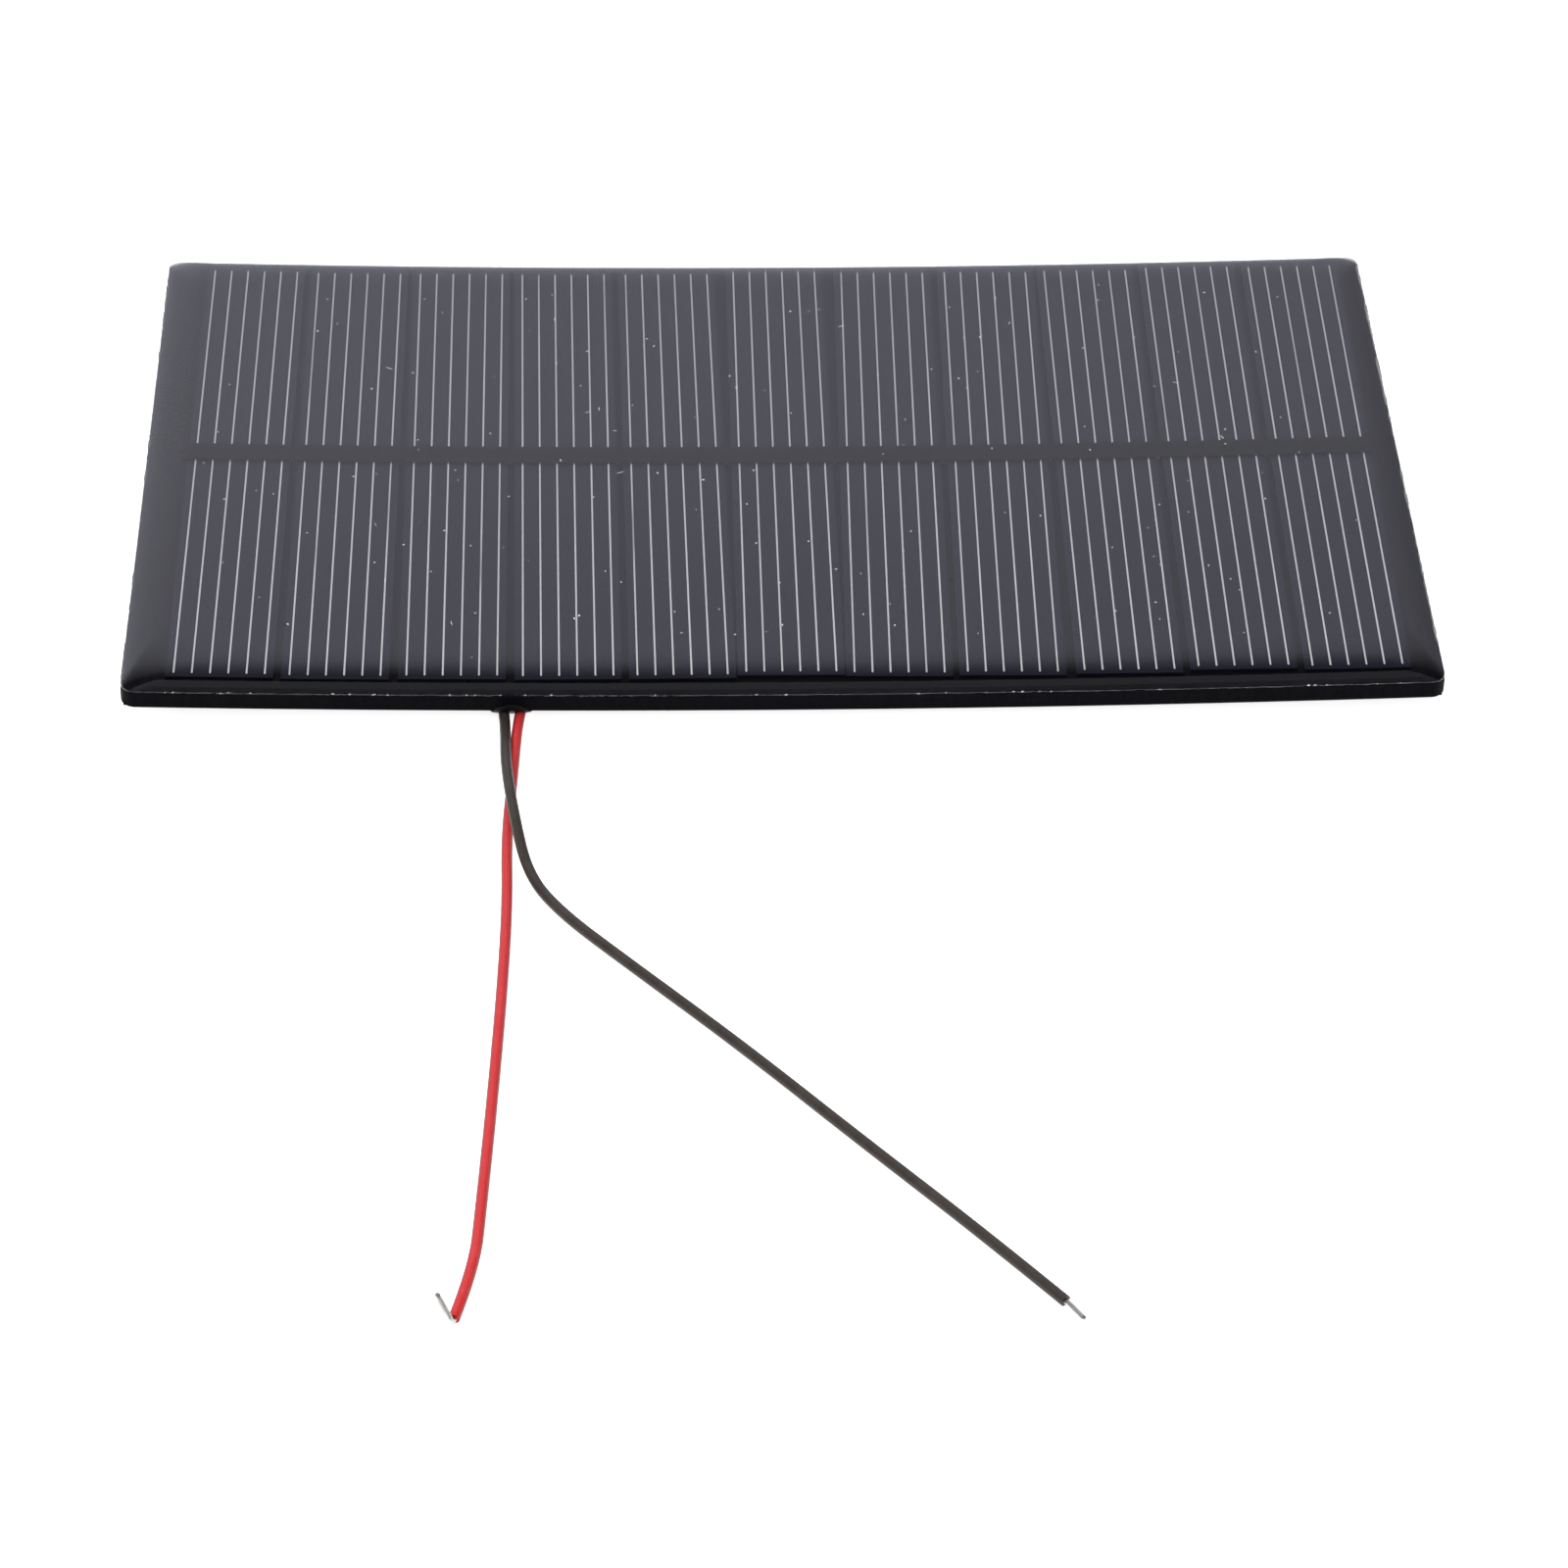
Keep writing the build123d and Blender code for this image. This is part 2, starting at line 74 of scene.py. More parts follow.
RED_ROUTE = (
    (-20.9 * MM, -25.7 * MM, 0.62 * MM),
    (-21.86 * MM, -28.3 * MM, 0.54 * MM),
    (-22.3 * MM, -31.5 * MM, LEAD_REST),
    (-22.55 * MM, -37.0 * MM, LEAD_REST),
    (-23.0 * MM, -44.5 * MM, LEAD_REST),
    (-22.8 * MM, -52.5 * MM, LEAD_REST),
    (-23.1 * MM, -62.5 * MM, LEAD_REST),
    (-23.7 * MM, -74.5 * MM, LEAD_REST),
    (-24.3 * MM, -84.5 * MM, LEAD_REST),
    (-24.7 * MM, -90.4 * MM, LEAD_REST),
    (-26.07 * MM, -95.25 * MM, LEAD_REST),
)
TIP_RADIUS = 0.25 * MM
CORE_RADIUS = 0.23 * MM
CORE_IN_JOINT = 1.7 * MM  # how far the core reaches back into its solder joint
BLACK_KNEE = 0.3 * MM  # how far the knee is from the sheath's end
BLACK_TIP = 1.9 * MM
BLACK_TIP_DIRECTION = Vector((0.56, -0.83, 0.0)).normalized()
RED_KNEE = 0.42 * MM
RED_TIP = 2.6 * MM
RED_TIP_DIRECTION = Vector((-0.42, 0.40, 0.81)).normalized()
TIP_BEND_REACH = 0.36 * MM  # how far the bend of a tip reaches past its knee
TIP_BEND_SHARE = 0.8  # the most of the stretch before the knee that the bend takes
TIP_BEND_STEPS = 8
OUTER_STRANDS = 6
STRAND_LAY = 5.5 * MM  # length of one turn of the strands
STRAND_GROOVE = 0.05 * MM
TINNED_GROOVE = 0.025 * MM
STRAND_SWELL = 0.004 * MM
CORE_STEP = 0.22 * MM
CORE_SIDES = 28

# Glue under the edge of the board
DAB_CENTRE = Vector((-22.75 * MM, -29.2 * MM, 1.1 * MM))
DAB_RADII = Vector((1.95 * MM, 1.05 * MM, 1.1 * MM))
DAB_CLEAR = 0.04 * MM  # it ends this far above the table
DAB_PROUD = 0.06 * MM  # how far it stands out of the board's edge
DAB_UNDERCUT = 0.95  # how fast it draws in under the board
DAB_UNDERCUT_RISE = 0.15 * MM  # how far above the board's back that begins
DAB_SOFTNESS = 0.2  # what is left of the part that would stand further out

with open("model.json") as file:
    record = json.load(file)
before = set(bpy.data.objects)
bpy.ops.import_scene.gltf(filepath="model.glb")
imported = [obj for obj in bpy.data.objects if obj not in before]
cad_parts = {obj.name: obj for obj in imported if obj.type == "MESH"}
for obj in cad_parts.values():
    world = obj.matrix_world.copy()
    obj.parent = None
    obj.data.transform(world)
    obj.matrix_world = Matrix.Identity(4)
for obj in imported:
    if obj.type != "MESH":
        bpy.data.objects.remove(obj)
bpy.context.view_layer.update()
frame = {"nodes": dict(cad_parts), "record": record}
nodes = frame["nodes"]
scene = bpy.context.scene
scene.view_settings.view_transform = "Standard"

board_low, board_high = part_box("backing_board")
HALF_LENGTH = (board_high.x - board_low.x) / 2
HALF_DEPTH = (board_high.y - board_low.y) / 2
BOW_RADIUS = (HALF_LENGTH ** 2 + SAG ** 2) / (2 * SAG)


def bowed(x, y, z):
    """A point at x, y and z above the board's back, in the flat panel, on the bow."""
    angle = x / BOW_RADIUS
    radius = BOW_RADIUS - z
    return Vector((radius * math.sin(angle), y, STAND_OFF + BOW_RADIUS - radius * math.cos(angle)))


# ---------------------------------------------------------------- node helpers


class Nodes:
    """A node tree, with short calls to add and join nodes."""

    def __init__(self, tree):
        self.tree = tree

    def add(self, kind, **settings):
        node = self.tree.nodes.new("ShaderNode" + kind)
        for key, value in settings.items():
            setattr(node, key, value)
        return node

    def join(self, source, target):
        self.tree.links.new(source, target)

    def ramp(self, factor, *stops):
        """A colour ramp on a factor; each stop is a position and a colour."""
        node = self.add("ValToRGB")
        elements = node.color_ramp.elements
        while len(elements) < len(stops):
            elements.new(0.5)
        for element, (position, colour) in zip(elements, stops):
            element.position = position
            element.color = (*colour, 1)
        self.join(factor, node.inputs["Fac"])
        return node.outputs["Color"]

    def range(self, factor, low, high, from_low=0.3, from_high=0.7):
        """A factor mapped onto low to high."""
        node = self.add("MapRange")
        node.inputs["From Min"].default_value = from_low
        node.inputs["From Max"].default_value = from_high
        node.inputs["To Min"].default_value = low
        node.inputs["To Max"].default_value = high
        self.join(factor, node.inputs["Value"])
        return node.outputs["Result"]

    def combine(self, first, second, operation="ADD"):
        """Two factors put together by a Math operation; each is a socket or a number."""
        node = self.add("Math", operation=operation)
        for socket, value in zip(node.inputs, (first, second)):
            if isinstance(value, (int, float)):
                socket.default_value = value
            else:
                self.join(value, socket)
        return node.outputs[0]

    def mix(self, factor, first, second, blend="MIX"):
        """Two colours mixed by a factor; each is a socket or three numbers."""
        node = self.add("Mix", data_type="RGBA", blend_type=blend)
        for socket, value in zip((node.inputs[0], node.inputs[6], node.inputs[7]), (factor, first, second)):
            if isinstance(value, (int, float)):
                socket.default_value = value
            elif isinstance(value, tuple):
                socket.default_value = (*value, 1)
            else:
                self.join(value, socket)
        return node.outputs[2]


class Shader(Nodes):
    """A new material's nodes."""

    def __init__(self, name):
        self.material = bpy.data.materials.new(name)
        self.material.use_nodes = True
        super().__init__(self.material.node_tree)
        self.principled = self.tree.nodes["Principled BSDF"]
        self.output = self.tree.nodes["Material Output"]
        self.place = self.add("TexCoord").outputs["Object"]

    def put(self, socket, value):
        """Set a socket of the Principled node to a plain value."""
        self.principled.inputs[socket].default_value = value

    def noise(self, scale, detail=4.0, roughness=0.55, stretch=(1, 1, 1)):
        """Soft noise from 0 to 1, its features 1/scale metres apart, with the axes scaled by stretch."""
        mapping = self.add("Mapping")
        mapping.inputs["Scale"].default_value = stretch
        self.join(self.place, mapping.inputs["Vector"])
        node = self.add("TexNoise")
        node.inputs["Scale"].default_value = scale
        node.inputs["Detail"].default_value = detail
        node.inputs["Roughness"].default_value = roughness
        self.join(mapping.outputs["Vector"], node.inputs["Vector"])
        return node.outputs["Fac"]

    def bump(self, height, distance, target=None):
        """Bump a shader by a height, where 1 stands for distance metres."""
        node = self.add("Bump")
        node.inputs["Strength"].default_value = 1.0
        node.inputs["Distance"].default_value = distance
        self.join(height, node.inputs["Height"])
        self.join(node.outputs["Normal"], (target or self.principled).inputs["Normal"])


def grey(level):
    return (level, level, level)


def scaled(colour, factor):
    return tuple(channel * factor for channel in colour)


# ---------------------------------------------------------------- materials


def silicon():
    """Coated silicon: near black, a little blue, with faint saw marks and slow changes of shade."""
    shader = Shader("silicon")
    base = (0.0030, 0.0033, 0.0085)
    slow = shader.noise(120, detail=3)
    marks = shader.noise(900, detail=3, stretch=(1, 0.03, 1))
    colour = shader.ramp(slow, (0.3, scaled(base, 0.85)), (0.7, scaled(base, 1.18)))
    lines = shader.ramp(marks, (0.35, grey(0.86)), (0.65, grey(1.12)))
    shader.join(shader.mix(1.0, colour, lines, "MULTIPLY"), shader.principled.inputs["Base Color"])
    shader.join(shader.range(marks, 0.38, 0.5), shader.principled.inputs["Roughness"])
    shader.put("Specular IOR Level", 0.06)
    return shader.material


def silver():
    """Printed silver paste: matt, grainy, with stretches that printed thin, and darker towards the back
    edge of the panel.
    """
    shader = Shader("printed_silver")
    grain = shader.noise(9000, detail=2)
    thin = shader.noise(90, detail=2, stretch=(7, 0.5, 1))
    bare, even, thick = (0.22, 0.22, 0.23), (0.4, 0.4, 0.41), (0.47, 0.47, 0.48)
    colour = shader.ramp(thin, (0.25, bare), (0.36, even), (0.7, thick))
    fine = shader.ramp(grain, (0.3, grey(0.8)), (0.7, grey(1.1)))
    grainy = shader.mix(1.0, colour, fine, "MULTIPLY")
    # Darker towards the back edge of the panel: the colour is multiplied by 0.92 at the front, falling to
    # 0.5 at the back.
    axes = shader.add("SeparateXYZ")
    shader.join(shader.place, axes.inputs[0])
    along = shader.range(axes.outputs["Y"], 0.0, 1.0, -30 * MM, 30 * MM)
    worn_tone_and_back_darkening = shader.ramp(along, (0.0, grey(0.92)), (1.0, grey(0.5)))
    shader.join(shader.mix(1.0, grainy, worn_tone_and_back_darkening, "MULTIPLY"), shader.principled.inputs["Base Color"])
    shader.join(shader.range(grain, 0.4, 0.6), shader.principled.inputs["Roughness"])
    shader.put("Specular IOR Level", 0.2)
    shader.bump(grain, 0.004 * MM)
    return shader.material


def tinned(name, tone=0.7, roughness=(0.2, 0.4), ripple=0.01 * MM):
    """Tin and solder: bright, with dull patches and a rippled skin."""
    shader = Shader(name)
    patches = shader.noise(1500, detail=5)
    flow = shader.noise(3500, detail=3, stretch=(1, 0.4, 1))
    dull = (tone * 0.78, tone * 0.75, tone * 0.71)
    colour = shader.ramp(patches, (0.3, dull), (0.65, (tone, tone * 0.98, tone * 0.95)))
    shader.join(colour, shader.principled.inputs["Base Color"])
    shader.join(shader.range(patches, roughness[1], roughness[0]), shader.principled.inputs["Roughness"])
    shader.put("Metallic", 1.0)
    shader.bump(flow, ripple)
    return shader.material


def copper():
    """Etched copper that the solder has tinned in places."""
    shader = Shader("copper")
    tin = shader.noise(900, detail=4)
    colour = shader.ramp(tin, (0.42, (0.68, 0.34, 0.2)), (0.56, (0.66, 0.62, 0.58)))
    shader.join(colour, shader.principled.inputs["Base Color"])
    shader.join(shader.range(tin, 0.42, 0.28), shader.principled.inputs["Roughness"])
    shader.put("Metallic", 1.0)
    shader.bump(shader.noise(4000, detail=3), 0.006 * MM)
    return shader.material


def film():
    """Dark bonding film: near black, cloudy where it has flowed."""
    shader = Shader("bonding_film")
    clouds = shader.noise(170, detail=5)
    colour = shader.ramp(clouds, (0.3, (0.0008, 0.0008, 0.0012)), (0.7, (0.0014, 0.0014, 0.002)))
    shader.join(colour, shader.principled.inputs["Base Color"])
    shader.join(shader.range(clouds, 0.5, 0.65), shader.principled.inputs["Roughness"])
    shader.put("Specular IOR Level", 0.03)
    return shader.material


def cover():
    """The black strip: matt, with a fine fibre grain along it."""
    shader = Shader("cover_strip")
    fibres = shader.noise(2500, detail=3, stretch=(0.06, 1, 1))
    colour = shader.ramp(fibres, (0.3, (0.0006, 0.0006, 0.0008)), (0.7, (0.0014, 0.0013, 0.0016)))
    shader.join(colour, shader.principled.inputs["Base Color"])
    shader.join(shader.range(fibres, 0.6, 0.75), shader.principled.inputs["Roughness"])
    shader.put("Specular IOR Level", 0.04)
    shader.bump(fibres, 0.01 * MM)
    return shader.material


def resin():
    """Clear glossy resin: what is under it shows straight through, and its skin mirrors by Fresnel."""
    shader = Shader("clear_resin")
    shader.tree.nodes.remove(shader.principled)
    clear = shader.add("BsdfTransparent")
    clear.inputs["Color"].default_value = (0.97, 0.97, 0.965, 1)
    gloss = shader.add("BsdfGlossy")
    gloss.inputs["Color"].default_value = (0.97, 0.98, 1.0, 1)
    smear = shader.noise(260, detail=5)
    shader.join(shader.range(smear, 0.015, 0.06), gloss.inputs["Roughness"])
    waves = shader.noise(140, detail=2)
    shader.bump(waves, 0.012 * MM, target=gloss)
    fresnel = shader.add("Fresnel")
    fresnel.inputs["IOR"].default_value = 1.42
    outside = shader.combine(1.0, shader.add("NewGeometry").outputs["Backfacing"], "SUBTRACT")
    blend = shader.add("MixShader")
    shader.join(shader.combine(fresnel.outputs[0], outside, "MULTIPLY"), blend.inputs["Fac"])
    shader.join(clear.outputs[0], blend.inputs[1])
    shader.join(gloss.outputs[0], blend.inputs[2])
    shader.join(blend.outputs[0], shader.output.inputs["Surface"])
    return shader.material


def board():
    """Black glass-fibre board: the sawn edge shows fine layers and a few pale fibres."""
    shader = Shader("board")
    layers = shader.noise(900, detail=3, stretch=(0.06, 0.06, 3))
    saw = shader.noise(2600, detail=4, stretch=(1, 1, 0.25))
    colour = shader.ramp(layers, (0.3, (0.0006, 0.0007, 0.0015)), (0.7, (0.0012, 0.0014, 0.0028)))
    fibres = shader.ramp(saw, (0.72, grey(0)), (0.8, grey(0.03)))
    shader.join(shader.mix(1.0, colour, fibres, "ADD"), shader.principled.inputs["Base Color"])
    shader.join(shader.range(saw, 0.45, 0.7), shader.principled.inputs["Roughness"])
    shader.put("Specular IOR Level", 0.03)
    shader.bump(saw, 0.02 * MM)
    return shader.material


def lacquer():
    """Black solder resist: satin, with the board's glass weave just showing through."""
    shader = Shader("lacquer")
    weave = shader.add("TexWave", wave_type="BANDS", bands_direction="X")
    weave.inputs["Scale"].default_value = 700
    weave.inputs["Distortion"].default_value = 1.5
    shader.join(shader.place, weave.inputs["Vector"])
    weft = shader.add("TexWave", wave_type="BANDS", bands_direction="Y")
    weft.inputs["Scale"].default_value = 620
    weft.inputs["Distortion"].default_value = 1.5
    shader.join(shader.place, weft.inputs["Vector"])
    cloth = shader.combine(weave.outputs["Fac"], weft.outputs["Fac"], "MULTIPLY")
    scuffs = shader.noise(450, detail=6, stretch=(1, 0.3, 1))
    colour = shader.ramp(scuffs, (0.35, (0.008, 0.008, 0.009)), (0.75, (0.016, 0.016, 0.017)))
    shader.join(colour, shader.principled.inputs["Base Color"])
    shader.join(shader.range(scuffs, 0.24, 0.42), shader.principled.inputs["Roughness"])
    shader.bump(shader.combine(cloth, scuffs), 0.006 * MM)
    return shader.material


def sheath(name, base, worn_tone_and_back_darkening, roughness=(0.36, 0.52)):
    """Soft plastic wire cover: satin, with draw lines along it and a few scuffs and dust specks, and
    painted shade that darkens its colour towards the edges as seen.
    """
    shader = Shader(name)
    lines = shader.noise(2200, detail=3, stretch=(1, 0.12, 1))
    scuffs = shader.noise(500, detail=6, roughness=0.7)
    dust = shader.ramp(shader.noise(5200, detail=1), (0.76, grey(0)), (0.8, grey(0.1)))
    colour = shader.ramp(scuffs, (0.35, base), (0.75, worn_tone_and_back_darkening))
    dusty = shader.mix(1.0, colour, dust, "ADD")
    # Painted shade: the colour is darkened down to 0.3 where the surface turns away from the view, towards
    # the wire's edges.
    facing = shader.add("LayerWeight").outputs["Facing"]
    painted_edge_shade = shader.ramp(facing, (0.25, grey(1.0)), (0.8, grey(0.3)))
    shader.join(shader.mix(1.0, dusty, painted_edge_shade, "MULTIPLY"), shader.principled.inputs["Base Color"])
    shader.join(shader.range(scuffs, *roughness), shader.principled.inputs["Roughness"])
    shader.put("Specular IOR Level", 0.22)
    shader.bump(shader.combine(lines, scuffs), 0.008 * MM)
    return shader.material


def glue():
    """Black glue: a smooth skin with soft lumps and dull patches."""
    shader = Shader("glue")
    lumps = shader.noise(900, detail=4)
    colour = shader.ramp(lumps, (0.3, (0.002, 0.002, 0.0025)), (0.7, (0.004, 0.004, 0.0045)))
    shader.join(colour, shader.principled.inputs["Base Color"])
    shader.join(shader.range(lumps, 0.3, 0.5), shader.principled.inputs["Roughness"])
    shader.put("Specular IOR Level", 0.1)
    shader.bump(lumps, 0.03 * MM)
    return shader.material


def flecks():
    """Bubbles, dust and torn flash, pale against the dark strips."""
    shader = Shader("flecks")
    tone = shader.noise(700, detail=1)
    colour = shader.ramp(tone, (0.3, (0.3, 0.3, 0.305)), (0.7, (0.8, 0.79, 0.77)))
    shader.join(colour, shader.principled.inputs["Base Color"])
    shader.join(shader.range(tone, 0.3, 0.6), shader.principled.inputs["Roughness"])
    return shader.material


MATERIALS = {
    "board": board(),
    "lacquer": lacquer(),
    "copper": copper(),
    "film": film(),
    "cover": cover(),
    "resin": resin(),
    "solder": tinned("solder", 0.66, (0.16, 0.34), 0.02 * MM),
    "black_sheath": sheath("black_sheath", (0.031, 0.024, 0.02), (0.05, 0.04, 0.034)),
    "red_sheath": sheath("red_sheath", (0.5, 0.022, 0.022), (0.54, 0.04, 0.04)),
    "tinned": tinned("tinned_core", 0.72, (0.42, 0.6), 0.008 * MM),
    "glue": glue(),
    "silicon": silicon(),
    "silver": silver(),
    "ribbon": tinned("ribbon", 0.7, (0.24, 0.4), 0.006 * MM),
}


def paint_frame():
    """Give each CAD node the material of its slot in the record."""
    for row in frame["record"]["subparts"]:
        mesh = nodes[row["node"]].data
        mesh.materials.clear()
        mesh.materials.append(MATERIALS[row["material_slot"]])


# ---------------------------------------------------------------- mesh helpers


def mesh_piece(name, shaper, slot, smooth=True, material=None):
    """The shaper's mesh as a piece that rides on the panel, with its slot's material or a given one."""
    mesh = bpy.data.meshes.new(name)
    shaper.to_mesh(mesh)
    shaper.free()
    for polygon in mesh.polygons:
        polygon.use_smooth = smooth
    mesh.materials.append(material or MATERIALS[slot])
    piece = bpy.data.objects.new(name, mesh)
    scene.collection.objects.link(piece)
    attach(piece, "root")
    return piece


def new_piece(name, vertices, faces, slot, **looks):
    """A mesh piece of vertices and faces, with its faces turned outwards."""
    plain = bpy.data.meshes.new(name + "_faces")
    plain.from_pydata([tuple(vertex) for vertex in vertices], [], faces)
    shaper = bmesh.new()
    shaper.from_mesh(plain)
    bpy.data.meshes.remove(plain)
    bmesh.ops.recalc_face_normals(shaper, faces=shaper.faces)
    return mesh_piece(name, shaper, slot, **looks)


def tube_faces(rings, count):
    """Quads between rings of count points, and a cap at each end."""
    faces = []
    for ring in range(rings - 1):
        for step in range(count):
            after = (step + 1) % count
            low, high = ring * count, (ring + 1) * count
            faces.append((low + step, low + after, high + after, high + step))
    faces.append(tuple(reversed(range(count))))
    faces.append(tuple(range((rings - 1) * count, rings * count)))
    return faces


# ---------------------------------------------------------------- camera and leads


def make_camera():
    data = bpy.data.cameras.new("camera")
    data.lens = CAMERA_LENS
    data.clip_start = 0.01
    camera = bpy.data.objects.new("camera", data)
    scene.collection.objects.link(camera)
    turn = Matrix.Rotation(math.radians(-CAMERA_YAW), 4, "Z")
    turn @= Matrix.Rotation(math.radians(90 - CAMERA_PITCH), 4, "X")
    turn @= Matrix.Rotation(math.radians(CAMERA_ROLL), 4, "Z")
    back = turn @ Vector((0, 0, CAMERA_DISTANCE))
    camera.matrix_world = Matrix.Translation(Vector(CAMERA_AIM) + back) @ turn
    scene.camera = camera


def route_curve(name, route, radius):
    """A smooth line with the route's points as its control points."""
    data = bpy.data.curves.new(name, "CURVE")
    data.dimensions = "3D"
    data.resolution_u = 16
    data.bevel_depth = radius
    data.bevel_resolution = 5
    data.use_fill_caps = True
    spline = data.splines.new("NURBS")
    spline.points.add(len(route) - 1)
    for point, place in zip(spline.points, route):
        point.co = (*place, 1)
    spline.order_u = 3
    spline.use_endpoint_u = True
    piece = bpy.data.objects.new(name, data)
    scene.collection.objects.link(piece)
    return piece


def smooth_points(route):
    """Points along the smooth line of a route."""
    guide = route_curve("guide", route, 0.0)
    bpy.context.view_layer.update()
    mesh = bpy.data.meshes.new_from_object(guide)
    points = [vertex.co.copy() for vertex in mesh.vertices]
    bpy.data.meshes.remove(mesh)
    bpy.data.objects.remove(guide)
    return points


def evenly(points, step):
    """Points at equal steps along a line of points, with its end."""
    result = [points[0]]
    left = step
    for start, end in zip(points, points[1:]):
        span = (end - start).length
        along = left
        while along < span:
            result.append(start.lerp(end, along / span))
            along += step
        left = along - span
    result.append(points[-1])
    return result


def path_length(points):
    return sum((after - before).length for before, after in zip(points, points[1:]))


def frames_along(points):
    """For each point, two unit vectors across the line that don't spin about it."""
    across = []
    side = None
    for index in range(len(points)):
        before = points[max(index - 1, 0)]
        after = points[min(index + 1, len(points) - 1)]
        along = (after - before).normalized()
        if side is None:
            side = along.cross(Vector((0, 0, 1)))
        side = (side - along * side.dot(along)).normalized()
        across.append((side.copy(), along.cross(side)))
    return across


def tip_points(route, knee, tip_direction, length):
    """A bare tip that runs on from a route to a knee, turns tightly, and runs on straight."""
    start = Vector(route[-1])
    direction = (start - Vector(route[-2])).normalized()
    corner = start + direction * knee
    first = corner - direction * min(TIP_BEND_REACH, knee * TIP_BEND_SHARE)
    last = corner + tip_direction * TIP_BEND_REACH
    points = [start]
    for step in range(TIP_BEND_STEPS + 1):
        t = step / TIP_BEND_STEPS
        points.append(first.lerp(corner, t).lerp(corner.lerp(last, t), t))
    points.append(corner + tip_direction * length)
    return points


def make_core(name, route, tip, node):
    """Twisted strands inside the sheath; the bare tip is filled with tin, so its grooves are shallow."""
    line = smooth_points(route)
    inner = line[0] - (line[1] - line[0]).normalized() * CORE_IN_JOINT
    points = evenly([inner] + line + tip[1:], CORE_STEP)
    sheath_end = len(points) - round(path_length(tip) / CORE_STEP) - 1
    vertices = []
    for index, (point, (side, up)) in enumerate(zip(points, frames_along(points))):
        bare = index >= sheath_end
        spin = index * CORE_STEP / STRAND_LAY * math.tau
        swell = STRAND_SWELL * noise.noise(Vector((index * 0.31, 0, 7)))
        radius = (TIP_RADIUS if bare else CORE_RADIUS) + swell
        groove = TINNED_GROOVE if bare else STRAND_GROOVE
        # The last two rings draw in, so that the end is a little rounded
        closing = min(1.0, (len(points) - 1 - index) / 1.5)
        radius *= 0.55 + 0.45 * math.sqrt(closing)
        for step in range(CORE_SIDES):
            angle = step / CORE_SIDES * math.tau
            lobe = abs(math.cos((angle - spin) * OUTER_STRANDS / 2))
            reach = radius - groove * (1 - lobe)
            vertices.append(point + (side * math.cos(angle) + up * math.sin(angle)) * reach)
    piece = new_piece(name, vertices, tube_faces(len(points), CORE_SIDES), "tinned")
    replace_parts(piece, node)
    return piece


def make_lead(colour, route, tip):
    """A sheath on its smooth line, with its core."""
    piece = route_curve(f"{colour}_lead", route, SHEATH_DIAMETER / 2)
    piece.data.materials.append(MATERIALS[f"{colour}_sheath"])
    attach(piece, "root")
    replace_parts(piece, f"{colour}_lead_sheath")
    core = make_core(f"{colour}_lead_strands", route, tip, f"{colour}_lead_core")


def make_leads():
    black_tip = tip_points(BLACK_ROUTE, BLACK_KNEE, BLACK_TIP_DIRECTION, BLACK_TIP)
    make_lead("black", BLACK_ROUTE, black_tip)
    red_tip = tip_points(RED_ROUTE, RED_KNEE, RED_TIP_DIRECTION, RED_TIP)
    make_lead("red", RED_ROUTE, red_tip)


# ---------------------------------------------------------------- clear potting

# The rim's profile: distance in from the edge, and height above the board. The resin was poured,
# so its top domes down to a low edge.
RIM = (
    (0.00, 0.02),
    (0.10, 0.11),
    (0.25, 0.235),
    (0.40, 0.35),
    (0.55, 0.455),
    (0.70, 0.545),
    (0.80, 0.600),
    (0.90, 0.652),
    (1.00, 0.698),
    (1.20, 0.775),
    (1.40, 0.838),
    (1.60, 0.893),
    (1.90, 0.955),
    (2.20, 1.003),
    (2.60, 1.045),
    (3.20, 1.078),
    (4.00, 1.095),
    (5.00, 1.100),
)
RIM_STEP = 0.4 * MM
CORNER_STEPS = 8
SIDE_ROWS = 144
RAGGED_RINGS = 4  # the lowest rings of the rim wander, less with each ring
RIM_WANDER = 0.03 * MM
FOOT_WANDER = 0.04 * MM
FOOT_DROP = 0.1 * MM  # the most that the foot may run down the board's edge


def rounded_ring(inset, columns, rows):
    """Points round the panel at a distance in from its edge, as four lists: front, right, back, left."""
    half_x = HALF_LENGTH - inset
    half_y = HALF_DEPTH - inset
    radius = CORNER_RADIUS + 0.9 * inset
    front = []
    for step in range(CORNER_STEPS):
        angle = math.pi * (1 + step / CORNER_STEPS / 2)
        x = radius - half_x + radius * math.cos(angle)
        front.append((x, radius - half_y + radius * math.sin(angle)))
    for step in range(columns + 1):
        front.append(((radius - half_x) * (1 - 2 * step / columns), -half_y))
    front += [(-x, y) for x, y in reversed(front[:CORNER_STEPS])]
    side_end = half_y - radius
    right = [(half_x, side_end * (2 * row / rows - 1)) for row in range(1, rows)]
    back = [(x, -y) for x, y in reversed(front)]
    left = [(-x, -y) for x, y in right]
    return front, right, back, left


def ragged(x, y, scale, seed):
    """Noise along the rim, about -1 to 1."""
    return noise.fractal(Vector((x * scale, y * scale, seed)), 0.7, 2.0, 4)


